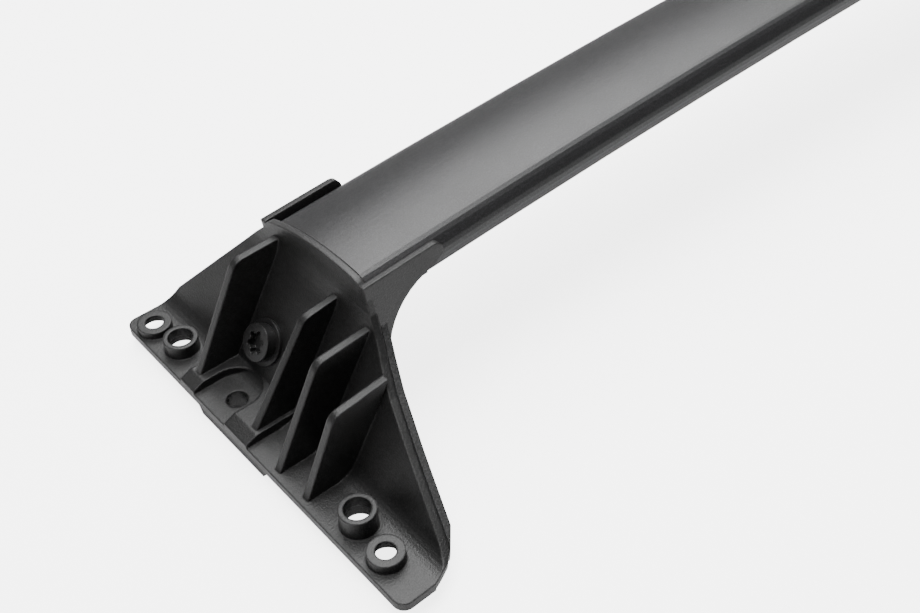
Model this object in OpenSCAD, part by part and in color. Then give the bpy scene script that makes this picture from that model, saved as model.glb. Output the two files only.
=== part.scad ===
// Roof rack crossbar: a bowed aero bar held at each end by a ribbed cast foot
// X runs along the bar, -Y is the leading edge, +Z is up, and the keels stand on Z = 0

/* [Bar] */
// Overall length over both feet
overall_l = 1000; // [850:5:1200]
// Width of the bar
bar_w = 66; // [62:0.5:67]
// Thickness of the bar at its crown
bar_t = 24; // [20:0.5:25]
// Radius of the upward bow along the bar
bow_r = 6200; // [5000:100:9000]
// Tilt of the bar, leading edge up
bar_tilt = 8; // [5:0.5:9]
// Wall of the hollow bar
bar_wall = 2.4; // [2:0.1:3]

/* [Foot] */
// Length of the foot's flange
foot_l = 195; // [190:1:200]
// Thickness of the flange
flange_t = 4; // [3.5:0.1:5]
// Thickness of the wall behind the ribs
wall_t = 3; // [2.5:0.1:3.4]
// Thickness of a rib
rib_t = 3.4; // [3:0.1:4]
// Depth of the keel under the flange
keel_h = 5.5; // [4:0.5:7]
// Diameter of the fixing bolt's hole in the pocket
bolt_d = 9; // [8:0.1:10]
// Bore of the tall rings
ring_bore_d = 10.7; // [10:0.1:11]
// Bore of the low bosses
boss_bore_d = 8; // [7:0.1:9]

/* [Trim and fasteners] */
// Thickness of the trim shell behind the wall
trim_t = 2.6; // [2.2:0.1:3]
// Gap between the casting and its trim or its bar
gap = 0.3; // [0.2:0.05:0.4]
// Shank diameter of the clamp screw
screw_d = 8; // [6:0.5:9]
// Shank diameter of the screws under the bar
bar_screw_d = 5; // [4:0.5:6]

/* [Hidden] */
$fn = 96;
// Places on the foot, from the pocket bolt's axis and the top of the flange
edge_x = -12;
base_z = flange_t + keel_h;
hole_y = 26.5;
bar_y = 20.5;
crown_z = 62.5;
rim_proud = 1.6;
crown_r = 130;
rim_w = bar_w + 5;
end_x = 46;
cradle_l = 34;
cheek_t = 3;
floor_t = 3.5;
tongue_w = 40;
skin_t = 1.8;
cheek_top = 9;
lean = 58;
toe_x = 4;
toe_r = 12;
brow_r = 25;
brow_x = 37.2;
wall_top = 74;
foot_x = overall_l / 2 + edge_x;
bar_half = foot_x - end_x;
bow_half = asin(bar_half / bow_r);
// Ribs as [y, foot x, corner x, corner z, top z, stands on the pad]
ribs = [
    [hole_y + 19.6, -5.8, 20, 51, 52, 1],
    [hole_y - 21.6, -5.4, 24, 46.5, 48.8, 1],
    [hole_y - 42.9, -9.4, 14.7, 44.3, 46.7, 0],
    [hole_y - 61.4, -9.3, 8, 35.5, 38.4, 0]
];
// Bosses as [x, y, height, outer diameter, bore, length of the bore]
bosses = [
    [-3.3, hole_y + 59.6, 3.3, 14.9, boss_bore_d, 1.8],
    [-0.9, hole_y + 41.1, 6.2, 15, ring_bore_d, 4.4],
    [-0.6, hole_y - 84.2, 9.4, 15, ring_bore_d, 5.3],
    [-2.5, hole_y - 103.2, 4.7, 14.9, boss_bore_d, 2.4]
];
screw_x = 20.5;
bar_screw_u = [-12, 12];
bar_screw_x = 22;

// Section of the wall's face, moved back by d along its own normal
toe_end = [toe_x + toe_r * sin(lean), toe_r - toe_r * cos(lean)];
brow_z = toe_end[1] + (brow_x - toe_end[0]) * tan(lean);
screw_spot = [screw_x, hole_y + 5, toe_end[1] + (screw_x - toe_end[0]) * tan(lean)];
function toe_arc(d) = [for (i = [0:6]) let (a = lean * i / 6)
    [toe_x + (toe_r + d) * sin(a), toe_r - (toe_r + d) * cos(a)]];
function brow_arc(d) = [for (i = [0:4]) let (a = lean + (90 - lean) * i / 4)
    [brow_x + brow_r * (sin(a) - sin(lean)) + d * sin(a),
     brow_z + brow_r * (cos(lean) - cos(a)) - d * cos(a)]];
function face(d, top) = let (b = brow_arc(d)) concat(toe_arc(d), b, [[b[4][0], top]]);
function reversed(p) = [for (i = [len(p) - 1:-1:0]) p[i]];
function arc(cx, cy, r, a0, a1, n = 8) =
    [for (i = [0:n]) let (a = a0 + (a1 - a0) * i / n) [cx + r * cos(a), cy + r * sin(a)]];

// An outline in the XZ plane, given thickness t centred on y
module plate_xz(points, y, t) {
    translate([0, y + t / 2, 0])
        rotate([90, 0, 0])
            linear_extrude(t) polygon(points);
}

// An outline in the YZ plane, running from x0 to x1
module prism_x(points, x0, x1) {
    translate([x0, 0, 0])
        rotate([90, 0, 90])
            linear_extrude(x1 - x0) polygon(points);
}

// Outline of the bar's section about its centre: a crown that rolls over into round noses
nose_r = 9;
function roll_a(w, r) = asin((w / 2 - r) / (crown_r - r));
function nose_v(w, t, r) = (crown_r - r) * cos(roll_a(w, r)) - crown_r + t / 2;
function section(w, t, r) = let (a = roll_a(w, r), u = w / 2 - r, v = nose_v(w, t, r)) concat(
    arc(0, t / 2 - crown_r, crown_r, 90 - a, 90 + a, 16),
    arc(-u, v, r, 90 + a + 10, 235, 10),
    [[-(u - 4), -t / 2], [u - 4, -t / 2]],
    arc(u, v, r, -55, 90 - a - 10, 10));

// Moves a piece to the bar's end on the foot: along the bar's slope and tilt
module at_bar_end() {
    translate([end_x, bar_y, crown_z - bar_t / 2])
        rotate([0, -bow_half, 0])
            rotate([-bar_tilt, 0, 0])
                children();
}

// The foot's outline seen along the bar
module outline(x0, x1) {
    half = foot_l / 2;
    prism_x([
        [-half, -20], [-half, 0], [-half + 7, 3.5], [-60, 20], [-40, 31.6], [-29.5, 39],
        [-22, 45.5], [-17, 52], [-14.8, 59], [-10, 60], [48, 52], [53, 52], [57, 50],
        [60, 47], [half - 3, 7], [half, 0], [half, -20]], x0, x1);
}

// The rim over the bar's end, as wide as the cradle
module rim_outline(x0, x1) {
    translate([0, bar_y, crown_z - bar_t / 2])
        rotate([-bar_tilt, 0, 0])
            prism_x(section(rim_w, bar_t + 2 * rim_proud, nose_r), x0, x1);
}

// Plan of the flange with its rounded tips
module plan() {
    half = foot_l / 2;
    translate([0, 0, -base_z - 1])
        linear_extrude(100)
            polygon(concat(
                arc(edge_x + 5, half - 5, 5, 180, 90),
                [[60, half], [60, -half + 38], [22, -half + 13], [16.5, -half + 7],
                 [12, -half + 3.2], [4, -half + 0.2]],
                arc(edge_x + 5, -half + 5, 5, 270, 180)));
}

// Floor and wall in one sweep, trimmed to the outline
module shell() {
    intersection() {
        plate_xz(concat([[edge_x, -flange_t], [edge_x, 0]], face(0, wall_top),
            reversed(face(wall_t, wall_top)), [[toe_x, -flange_t]]), 0, foot_l + 4);
        union() {
            outline(-20, 60);
            rim_outline(-20, 60);
        }
        plan();
    }
}

// Raised pad between the first two ribs, with its round-backed pocket for the bolt
module pad() {
    y0 = hole_y - 25.1;
    y1 = hole_y + 24.3;
    difference() {
        plate_xz([[edge_x, 0], [edge_x, 1.6], [-6.4, 4], [13, 4], [13, 0]],
            (y0 + y1) / 2, y1 - y0);
        translate([1, hole_y + 2.5, 0]) cylinder(h = 10, r = 11.6);
        translate([-30, hole_y + 2.5 - 11.6, 0]) cube([31, 23.2, 10]);
    }
}

// One upright rib with a round front corner
module rib(r) {
    foot_z = r[5] * 4;
    rise = atan2(r[3] - foot_z, r[2] - r[1]);
    round_r = 6;
    round_x = r[2] + 3.2;
    round_z = r[3] - round_r + 0.4;
    top_x = brow_x + (r[4] > brow_z ? 4 : (r[4] - brow_z) / tan(lean) - 1.5);
    plate_xz(concat([[r[1], 0], [r[1], foot_z]],
        arc(round_x, round_z, round_r, 90 + rise, 95, 6),
        [[top_x, r[4]]],
        r[4] > brow_z ? [[brow_x + 1.5, brow_z]] : [],
        [[toe_end[0] + 1.5, toe_end[1]], [10, 0]]), r[0], rib_t);
}

// Keel under the pocket, with chamfered ends
module keel() {
    prism_x([[hole_y - 37.5, -flange_t], [hole_y - 34, -base_z], [hole_y + 11, -base_z],
        [hole_y + 14, -flange_t], [hole_y + 14, 0 - flange_t / 2],
        [hole_y - 37.5, 0 - flange_t / 2]], edge_x + 0.6, 12);
}

// Cradle that carries the end of the bar: a tongue below it and a cheek on each side
module cradle() {
    cheek_u = bar_w / 2 + gap;
    at_bar_end() {
        translate([-8.5, -tongue_w / 2, -bar_t / 2 - gap - floor_t])
            cube([cradle_l + 8.5, tongue_w, floor_t]);
        for (u = [-cheek_u - cheek_t / 2, cheek_u + cheek_t / 2])
            plate_xz(concat([[-4.6, -17], [-4.6, cheek_top]],
                arc(cradle_l - 4, cheek_top - 4, 4, 90, -40, 6),
                arc(cradle_l - 3, -32, 32, 95, 160, 8)), u, cheek_t);
    }
}

module foot() {
    difference() {
        union() {
            shell();
            pad();
            keel();
            cradle();
            for (r = ribs) rib(r);
            for (b = bosses) translate([b[0], b[1], -1]) cylinder(h = b[2] + 1, d = b[3]);
        }
        translate([0, hole_y, -20]) cylinder(h = 24, d = bolt_d);
        for (b = bosses) translate([b[0], b[1], -20]) {
            cylinder(h = 40, d = b[4]);
            cylinder(h = 20 + b[2] - b[5], d = b[3] - 2.6);
        }
        for (y = [hole_y + 50.5, hole_y - 94]) translate([-9.5, y - 20, -10]) cube([19, 40, 10 - skin_t]);
        translate(screw_spot) rotate([0, -lean, 0])
            translate([0, 0, -12]) cylinder(h = 24, d = screw_d + 2 * gap);
        at_bar_end() {
            for (u = bar_screw_u)
                translate([bar_screw_x, u, -bar_t / 2 - 12]) cylinder(h = 16, d = bar_screw_d + 2 * gap);
            prism_x(section(bar_w + 2 * gap, bar_t + 2 * gap, nose_r), -1.2, cradle_l + 20);
        }
    }
}

// Trim shell that follows the back of the wall below the cradle
module trim() {
    difference() {
        intersection() {
            plate_xz(concat(face(wall_t + gap, wall_top), reversed(face(wall_t + gap + trim_t, wall_top))),
                0, foot_l);
            outline(-20, 80);
            plan();
            union() {
                translate([12.6, -foot_l / 2 + 6, -flange_t]) cube([60, foot_l - 12, 29]);
                translate([12.6, -foot_l / 2 + 6, 0]) cube([60, foot_l / 2 - 26, 50]);
            }
        }
        translate(screw_spot) rotate([0, -lean, 0])
            translate([0, 0, -20]) cylinder(h = 24, d = screw_d + 2 * gap);
    }
}

// Clamp screw, washer and nut, drawn from the wall's face outwards
module at_screw() {
    translate(screw_spot) rotate([0, -lean, 0]) children();
}
washer_t = 1.6;
head_t = 4.5;
stack = wall_t + gap + trim_t;
module clamp_screw() {
    at_screw() difference() {
        union() {
            translate([0, 0, washer_t]) cylinder(h = head_t, d = 16);
            translate([0, 0, -stack - 7.5]) cylinder(h = stack + 8 + washer_t, d = screw_d);
        }
        translate([0, 0, washer_t + head_t - 3]) {
            cylinder(h = 4, d = 7.4);
            for (i = [0:5]) rotate([0, 0, 60 * i]) translate([3.9, 0, 0]) cylinder(h = 4, d = 2.6);
        }
    }
}
module clamp_washer() {
    at_screw() difference() {
        cylinder(h = washer_t, d = 20);
        translate([0, 0, -1]) cylinder(h = 4, d = screw_d + 0.4);
    }
}
module clamp_nut() {
    at_screw() translate([0, 0, -stack - 6.5]) difference() {
        cylinder(h = 6.5, d = 15, $fn = 6);
        translate([0, 0, -1]) cylinder(h = 9, d = screw_d + 0.2);
    }
}

// Screws that come up through the cradle's floor into the bar
module under_bar(u) {
    at_bar_end() translate([bar_screw_x, u, -bar_t / 2 - gap - floor_t]) children();
}
module bar_screw(u) {
    under_bar(u) {
        translate([0, 0, -4.2]) cylinder(h = 3, d = 9);
        translate([0, 0, -4.2]) cylinder(h = 12.5, d = bar_screw_d);
    }
}
module bar_washer(u) {
    under_bar(u) translate([0, 0, -1.2]) difference() {
        cylinder(h = 1.2, d = 12);
        translate([0, 0, -1]) cylinder(h = 4, d = bar_screw_d + 0.4);
    }
}

// Places for the left foot and its mirrored twin
module left() {
    translate([-foot_x, 0, base_z]) children();
}
module both() {
    left() children();
    mirror([1, 0, 0]) left() children();
}

// The bar's section swept along its bow, from end to end
module sweep(w, t, half_angle) {
    mid_z = base_z + crown_z - bar_t / 2;
    centre_z = mid_z - bow_r * cos(bow_half);
    translate([0, bar_y, centre_z])
        rotate([90, 0, 0])
            rotate([0, 0, 90 - half_angle])
                rotate_extrude(angle = 2 * half_angle, $fn = 360)
                    translate([bow_r, 0])
                        rotate([0, 0, -90 - bar_tilt])
                            polygon([for (p = section(w, t, nose_r - (bar_w - w) / 2)) [p[0], p[1]]]);
}

module crossbar() {
    color([0.07, 0.07, 0.075]) difference() {
        sweep(bar_w, bar_t, bow_half);
        sweep(bar_w - 2 * bar_wall, bar_t - 2 * bar_wall, bow_half + 1);
        both() for (u = bar_screw_u) under_bar(u) translate([0, 0, 2])
            cylinder(h = 7, d = bar_screw_d + 0.2);
    }
}
module foot_left() { color([0.05, 0.05, 0.05]) left() foot(); }
module foot_right() { color([0.05, 0.05, 0.05]) mirror([1, 0, 0]) left() foot(); }
module trim_left() { color([0.08, 0.08, 0.08]) left() trim(); }
module trim_right() { color([0.08, 0.08, 0.08]) mirror([1, 0, 0]) left() trim(); }
module clamp_screws() { color([0.04, 0.04, 0.04]) both() clamp_screw(); }
module clamp_washers() { color([0.06, 0.06, 0.06]) both() clamp_washer(); }
module clamp_nuts() { color([0.3, 0.3, 0.3]) both() clamp_nut(); }
module bar_screws() { color([0.3, 0.3, 0.3]) both() for (u = bar_screw_u) bar_screw(u); }
module bar_washers() { color([0.3, 0.3, 0.3]) both() for (u = bar_screw_u) bar_washer(u); }

crossbar();
foot_left();
foot_right();
trim_left();
trim_right();
clamp_screws();
clamp_washers();
clamp_nuts();
bar_screws();
bar_washers();
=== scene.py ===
# %% [markdown]
# A roof rack crossbar is a satin black hollow bar held between two cast feet.
# The frame brings the exact solids in; this lesson gives them their finish, marks the
# place of the foundry's arrow on each foot, and lights the end that the photo shows.

# %% Load the frame
import math

import bmesh
import bpy
from mathutils import Matrix, Vector


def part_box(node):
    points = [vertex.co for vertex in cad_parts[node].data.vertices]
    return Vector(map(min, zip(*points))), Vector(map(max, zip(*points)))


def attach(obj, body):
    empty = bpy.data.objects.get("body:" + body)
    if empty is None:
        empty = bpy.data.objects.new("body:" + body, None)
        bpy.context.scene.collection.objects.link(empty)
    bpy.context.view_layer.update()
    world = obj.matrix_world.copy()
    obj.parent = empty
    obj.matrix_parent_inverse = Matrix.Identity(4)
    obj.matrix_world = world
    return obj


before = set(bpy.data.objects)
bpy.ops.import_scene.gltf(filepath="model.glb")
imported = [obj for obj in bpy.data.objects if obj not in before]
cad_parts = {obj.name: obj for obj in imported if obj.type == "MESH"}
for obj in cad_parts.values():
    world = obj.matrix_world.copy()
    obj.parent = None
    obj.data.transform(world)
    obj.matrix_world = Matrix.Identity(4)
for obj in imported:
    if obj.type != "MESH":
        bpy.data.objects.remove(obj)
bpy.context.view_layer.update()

# %% [markdown]
# The photo looks down on the left foot from outboard and in front. Its camera was fitted
# to the bosses, the ribs and the bar's edges, so its place and angles are plain numbers.

# %% Where the camera stands
camera_place = Vector((-0.6443, -0.3167, 0.4031))
camera_azimuth = math.radians(-38.774)
camera_elevation = math.radians(43.437)
camera_roll = math.radians(-2.215)
focal_pixels = 1303.0
photo_width = 920.0
sensor_width = 36.0
print("camera at", camera_place)

# %% [markdown]
# A camera looks along its own -Z axis. A constraint could aim it, but it would leave the
# roll out, so its three axes are worked out from the angles and set as one matrix.

# %% Aim the camera
back = Vector((math.sin(camera_azimuth) * math.cos(camera_elevation),
               -math.cos(camera_azimuth) * math.cos(camera_elevation),
               math.sin(camera_elevation)))
right = Vector((math.cos(camera_azimuth), math.sin(camera_azimuth), 0.0))
up = back.cross(right)
turned_right = right * math.cos(camera_roll) + up * math.sin(camera_roll)
turned_up = up * math.cos(camera_roll) - right * math.sin(camera_roll)
camera = bpy.data.objects.new("camera", bpy.data.cameras.new("camera"))
camera.matrix_world = Matrix.Translation(camera_place) @ Matrix(
    (turned_right, turned_up, back)).transposed().to_4x4()
camera.data.sensor_width = sensor_width
camera.data.lens = focal_pixels / photo_width * sensor_width
bpy.context.scene.collection.objects.link(camera)
bpy.context.scene.camera = camera
print("lens", round(camera.data.lens, 1), "mm")

# %% [markdown]
# Almost every surface that shows is black, so it is the sheen and the fine grain that tell
# them apart. Both come from noise on Object coordinates, which needs no unwrapping and
# doesn't stretch over the solids as an image would. This helper makes one such noise.

# %% A noise on the piece's own coordinates
def add_noise(material, scale, detail):
    place = material.node_tree.nodes.new("ShaderNodeTexCoord")
    noise = material.node_tree.nodes.new("ShaderNodeTexNoise")
    noise.inputs["Scale"].default_value = scale
    noise.inputs["Detail"].default_value = detail
    material.node_tree.links.new(place.outputs["Object"], noise.inputs["Vector"])
    return noise.outputs["Fac"]

# %% [markdown]
# The flecks of a coating are a little lighter than its ground. A colour ramp holds the
# low part of the noise dark, and grows lighter from there towards the peaks.

# %% Flecks of colour
dark_until = 0.42
light_from = 0.72


def colour_flecks(material, flecks, dark, light):
    ramp = material.node_tree.nodes.new("ShaderNodeValToRGB")
    ramp.color_ramp.elements[0].position = dark_until
    ramp.color_ramp.elements[0].color = (*dark, 1)
    ramp.color_ramp.elements[1].position = light_from
    ramp.color_ramp.elements[1].color = (*light, 1)
    shader = material.node_tree.nodes["Principled BSDF"]
    material.node_tree.links.new(flecks, ramp.inputs["Fac"])
    material.node_tree.links.new(ramp.outputs["Color"], shader.inputs["Base Color"])

# %% [markdown]
# A real coat isn't equally smooth all over. A broad noise moves the roughness between two
# limits, so that the highlight breaks up softly.

# %% Clouds of roughness
cloud_scale = 45.0
cloud_detail = 4.0


def cloud_roughness(material, smooth, rough):
    sheen = material.node_tree.nodes.new("ShaderNodeMapRange")
    sheen.inputs["To Min"].default_value = smooth
    sheen.inputs["To Max"].default_value = rough
    shader = material.node_tree.nodes["Principled BSDF"]
    clouds = add_noise(material, cloud_scale, cloud_detail)
    material.node_tree.links.new(clouds, sheen.inputs["Value"])
    material.node_tree.links.new(sheen.outputs["Result"], shader.inputs["Roughness"])

# %% [markdown]
# The solids have sharp edges, and a cast or moulded edge is round enough to catch the
# light. A bevel node bends only the normal there, so the exact shape stays as it is. The
# flecks then give the bump on top of it.

# %% Soft edges and grain
edge_samples = 6
grain_depth = 0.0003


def soften_and_grain(material, flecks, bump, edge):
    soft_edge = material.node_tree.nodes.new("ShaderNodeBevel")
    soft_edge.samples = edge_samples
    soft_edge.inputs["Radius"].default_value = edge
    relief = material.node_tree.nodes.new("ShaderNodeBump")
    relief.inputs["Strength"].default_value = bump
    relief.inputs["Distance"].default_value = grain_depth
    shader = material.node_tree.nodes["Principled BSDF"]
    material.node_tree.links.new(flecks, relief.inputs["Height"])
    material.node_tree.links.new(soft_edge.outputs["Normal"], relief.inputs["Normal"])
    material.node_tree.links.new(relief.outputs["Normal"], shader.inputs["Normal"])

# %% [markdown]
# One helper puts the three together. The same fine noise drives the colour and the bump,
# so that each light fleck also stands up a little, as a grain of powder does.

# %% A helper for grained finishes
fleck_detail = 3.0


def grained_finish(name, dark, light, grain, smooth, rough, bump, edge, metallic=0.0):
    material = bpy.data.materials.new(name)
    material.use_nodes = True
    flecks = add_noise(material, grain, fleck_detail)
    colour_flecks(material, flecks, dark, light)
    cloud_roughness(material, smooth, rough)
    soften_and_grain(material, flecks, bump, edge)
    material.node_tree.nodes["Principled BSDF"].inputs["Metallic"].default_value = metallic
    print("finish", name)
    return material

# %% [markdown]
# The bar is powder coated, with fine flecks and a satin sheen. The casting is coated
# matt and grained like the mould, and the trim is grained plastic.

# %% The bar, the casting and the trim
bar_paint = grained_finish(
    "satin_bar_paint", dark=(0.006, 0.006, 0.0063), light=(0.030, 0.030, 0.032),
    grain=2200.0, smooth=0.33, rough=0.42, bump=0.2, edge=0.0004)
cast_black = grained_finish(
    "coated_casting", dark=(0.0035, 0.0035, 0.0035), light=(0.012, 0.012, 0.012),
    grain=1500.0, smooth=0.36, rough=0.52, bump=0.55, edge=0.0012)
trim_grain = grained_finish(
    "grained_trim", dark=(0.004, 0.004, 0.004), light=(0.03, 0.03, 0.031),
    grain=1300.0, smooth=0.5, rough=0.66, bump=0.7, edge=0.0008)

# %% [markdown]
# The screw that shows on the foot is dark, so it and its washer are blackened steel. The
# nuts, screws and washers that are out of sight are taken to be plain zinc plated ones.

# %% The fasteners
black_steel = grained_finish(
    "black_steel", dark=(0.006, 0.006, 0.006), light=(0.016, 0.016, 0.016),
    grain=1800.0, smooth=0.32, rough=0.46, bump=0.15, edge=0.0005)
zinc_steel = grained_finish(
    "zinc_steel", dark=(0.42, 0.43, 0.44), light=(0.6, 0.61, 0.62),
    grain=1600.0, smooth=0.28, rough=0.42, bump=0.12, edge=0.0003, metallic=1.0)

# %% [markdown]
# Each node of the frame gets one finish, because each holds one kind of piece, in one
# material.

# %% Dress the nodes
finish_of = {
    "crossbar": bar_paint, "foot_left": cast_black, "foot_right": cast_black,
    "trim_left": trim_grain, "trim_right": trim_grain,
    "clamp_screws": black_steel, "clamp_washers": black_steel,
    "clamp_nuts": zinc_steel, "bar_screws": zinc_steel, "bar_washers": zinc_steel,
}
for name, finish in finish_of.items():
    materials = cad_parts[name].data.materials
    materials.clear()
    materials.append(finish)
print("dressed", len(finish_of), "nodes")

# %% [markdown]
# An arrow on the floor of the foot shows which way the foot faces. The real one stands up
# from the casting. This one is a single face without relief, and all but a sliver of it
# lies just under the floor's surface, so it only marks the place. Its sizes come first.

# %% Sizes of the arrow
edge_to_hole = 0.012
hole_to_arrow = 0.0112
arrow_y = -0.0575
floor_z = 0.0095
arrow_depth = 0.0001
arrow_length = 0.0135
shaft_half = 0.0011
head_half = 0.0024
head_length = 0.0042
hole_x = Vector(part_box("foot_left")[0]).x + edge_to_hole
print("pocket hole at x", round(hole_x, 4))

# %% [markdown]
# The floor turns up into the wall along a round fillet, and the arrow's corners follow
# it. The rise is worked out from the fillet's circle.

# %% The rise of the fillet
fillet_start = 0.004
fillet_radius = 0.012


def fillet_rise(x):
    reach = max(0.0, x - fillet_start)
    return fillet_radius - math.sqrt(fillet_radius ** 2 - reach ** 2)


print("rise at the arrow", round(fillet_rise(hole_to_arrow) * 1000, 2), "mm")

# %% [markdown]
# Seven corners make the left arrow. The right foot is a mirrored casting, so its arrow is
# the same face scaled by -1 along the bar, with its normals worked out again.

# %% The arrow on each foot
def add_arrow(name, mirrored):
    neck = -(arrow_length - head_length)
    outline = [(-shaft_half, 0), (shaft_half, 0), (shaft_half, neck), (head_half, neck),
               (0, -arrow_length), (-head_half, neck), (-shaft_half, neck)]
    start = Vector((hole_x + hole_to_arrow, arrow_y, floor_z - arrow_depth))
    mesh = bmesh.new()
    corners = [mesh.verts.new((start.x + x, start.y + y, start.z)) for x, y in outline]
    mesh.faces.new(corners)
    for corner in corners:
        corner.co.z += fillet_rise(corner.co.x - hole_x)
    if mirrored:
        bmesh.ops.scale(mesh, verts=mesh.verts, vec=(-1, 1, 1))
    bmesh.ops.recalc_face_normals(mesh, faces=mesh.faces)
    data = bpy.data.meshes.new(name)
    mesh.to_mesh(data)
    mesh.free()
    arrow = bpy.data.objects.new(name, data)
    arrow.data.materials.append(cast_black)
    bpy.context.scene.collection.objects.link(arrow)
    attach(arrow, "root")
    print(name, len(data.polygons), "faces")


add_arrow("cast_arrow_left", mirrored=False)
add_arrow("cast_arrow_right", mirrored=True)

# %% [markdown]
# The photo has a plain white ground. A big pale floor stands in for it. It glows only for
# the camera, so it looks near white and the glow adds no light to the bar.

# %% Floor
floor_half = 6.0
floor_colour = (0.92, 0.92, 0.92, 1)
floor_roughness = 0.9
floor_glow = 4.0
white = (1, 1, 1, 1)

ground = bmesh.new()
bmesh.ops.create_grid(ground, x_segments=1, y_segments=1, size=floor_half)
ground_data = bpy.data.meshes.new("floor")
ground.to_mesh(ground_data)
ground.free()
floor = bpy.data.objects.new("floor", ground_data)
pale = bpy.data.materials.new("pale_floor")
pale.use_nodes = True
pale_shader = pale.node_tree.nodes["Principled BSDF"]
pale_shader.inputs["Base Color"].default_value = floor_colour
pale_shader.inputs["Roughness"].default_value = floor_roughness
pale_shader.inputs["Emission Color"].default_value = white
rays = pale.node_tree.nodes.new("ShaderNodeLightPath")
glow = pale.node_tree.nodes.new("ShaderNodeMath")
glow.operation = "MULTIPLY"
glow.inputs[1].default_value = floor_glow
pale.node_tree.links.new(rays.outputs["Is Camera Ray"], glow.inputs[0])
pale.node_tree.links.new(glow.outputs["Value"], pale_shader.inputs["Emission Strength"])
floor.data.materials.append(pale)
bpy.context.scene.collection.objects.link(floor)
print("floor", 2 * floor_half, "m wide")

# %% [markdown]
# The light is soft, mostly from above and behind the bar. Broad area lamps give the
# gradient over the crown, which small ones would turn into a hard streak. All of them
# aim at the foot, and a weak white sky fills the shadows.

# %% Lamps and sky
foot_middle = Vector((-0.46, 0.0, 0.04))
sky_strength = 0.2


def add_lamp(name, place, size, power):
    lamp = bpy.data.objects.new(name, bpy.data.lights.new(name, "AREA"))
    lamp.data.size = size
    lamp.data.energy = power
    lamp.location = place
    lamp.rotation_euler = (foot_middle - Vector(place)).to_track_quat("-Z", "Y").to_euler()
    bpy.context.scene.collection.objects.link(lamp)
    print(name, power, "W")


add_lamp("top_lamp", place=(0.3, 0.75, 1.3), size=1.1, power=30)
add_lamp("front_lamp", place=(-1.3, -1.0, 1.1), size=0.8, power=1.5)
add_lamp("over_lamp", place=(-0.5, 0.1, 1.4), size=0.7, power=26)
sky = bpy.data.worlds.new("studio")
sky.use_nodes = True
sky.node_tree.nodes["Background"].inputs["Color"].default_value = white
sky.node_tree.nodes["Background"].inputs["Strength"].default_value = sky_strength
bpy.context.scene.world = sky
print("stage set")
